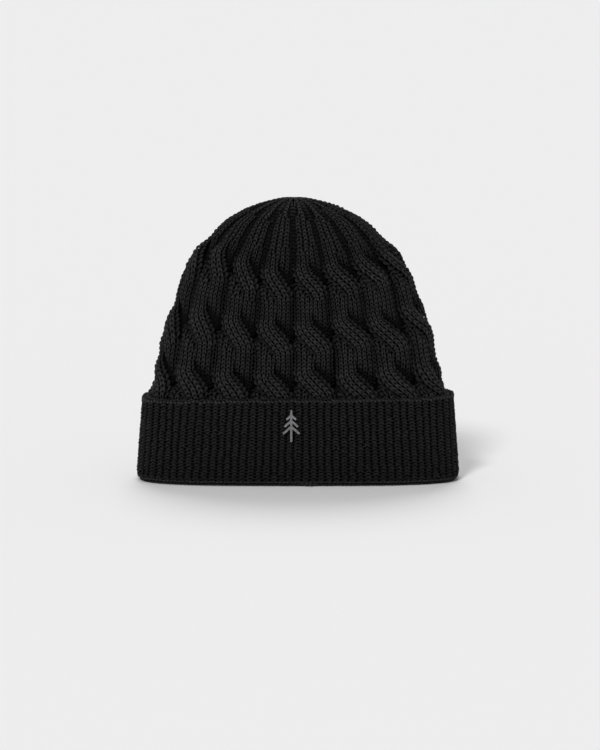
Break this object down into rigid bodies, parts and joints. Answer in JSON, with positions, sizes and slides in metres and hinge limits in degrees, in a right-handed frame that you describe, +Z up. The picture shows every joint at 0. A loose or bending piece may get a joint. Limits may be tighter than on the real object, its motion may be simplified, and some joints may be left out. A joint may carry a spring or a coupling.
{
  "type": "knit beanie",
  "caption": "Close-fitting cable-knit winter hat with a gathered crown, a turned-up ribbed cuff and a small metal emblem on the front.",
  "frame": {"origin": "centre of the bottom face of the bounding box, on the surface that the cuff's fold stands on", "axes": "+Z up to the crown, front with the emblem towards -Y, +X to the right as seen from the front"},
  "size_m": [0.2297, 0.0767, 0.1996],
  "materials": {
    "black_cable_knit": "matte wool-like yarn",
    "black_rib_knit": "matte wool-like yarn",
    "black_thread": "matte thread",
    "gunmetal": "matte gunmetal plating",
    "plain_steel": "bright",
    "white_satin": "satin weave"
  },
  "bodies": {
    "root": {"cable_knit_crown": "black_cable_knit", "rib_inner_band": "black_rib_knit", "rib_turn_up": "black_rib_knit", "cuff_edge_chain": "black_rib_knit", "crown_draw_thread": "black_thread", "crown_thread_knot": "black_thread", "crown_back_seam": "black_thread", "cuff_back_seam": "black_thread", "emblem_plate": "gunmetal", "emblem_prongs": "gunmetal", "emblem_backing_plate": "plain_steel", "care_label": "white_satin", "care_label_stitches": "black_thread"}
  },
  "joints": []
}
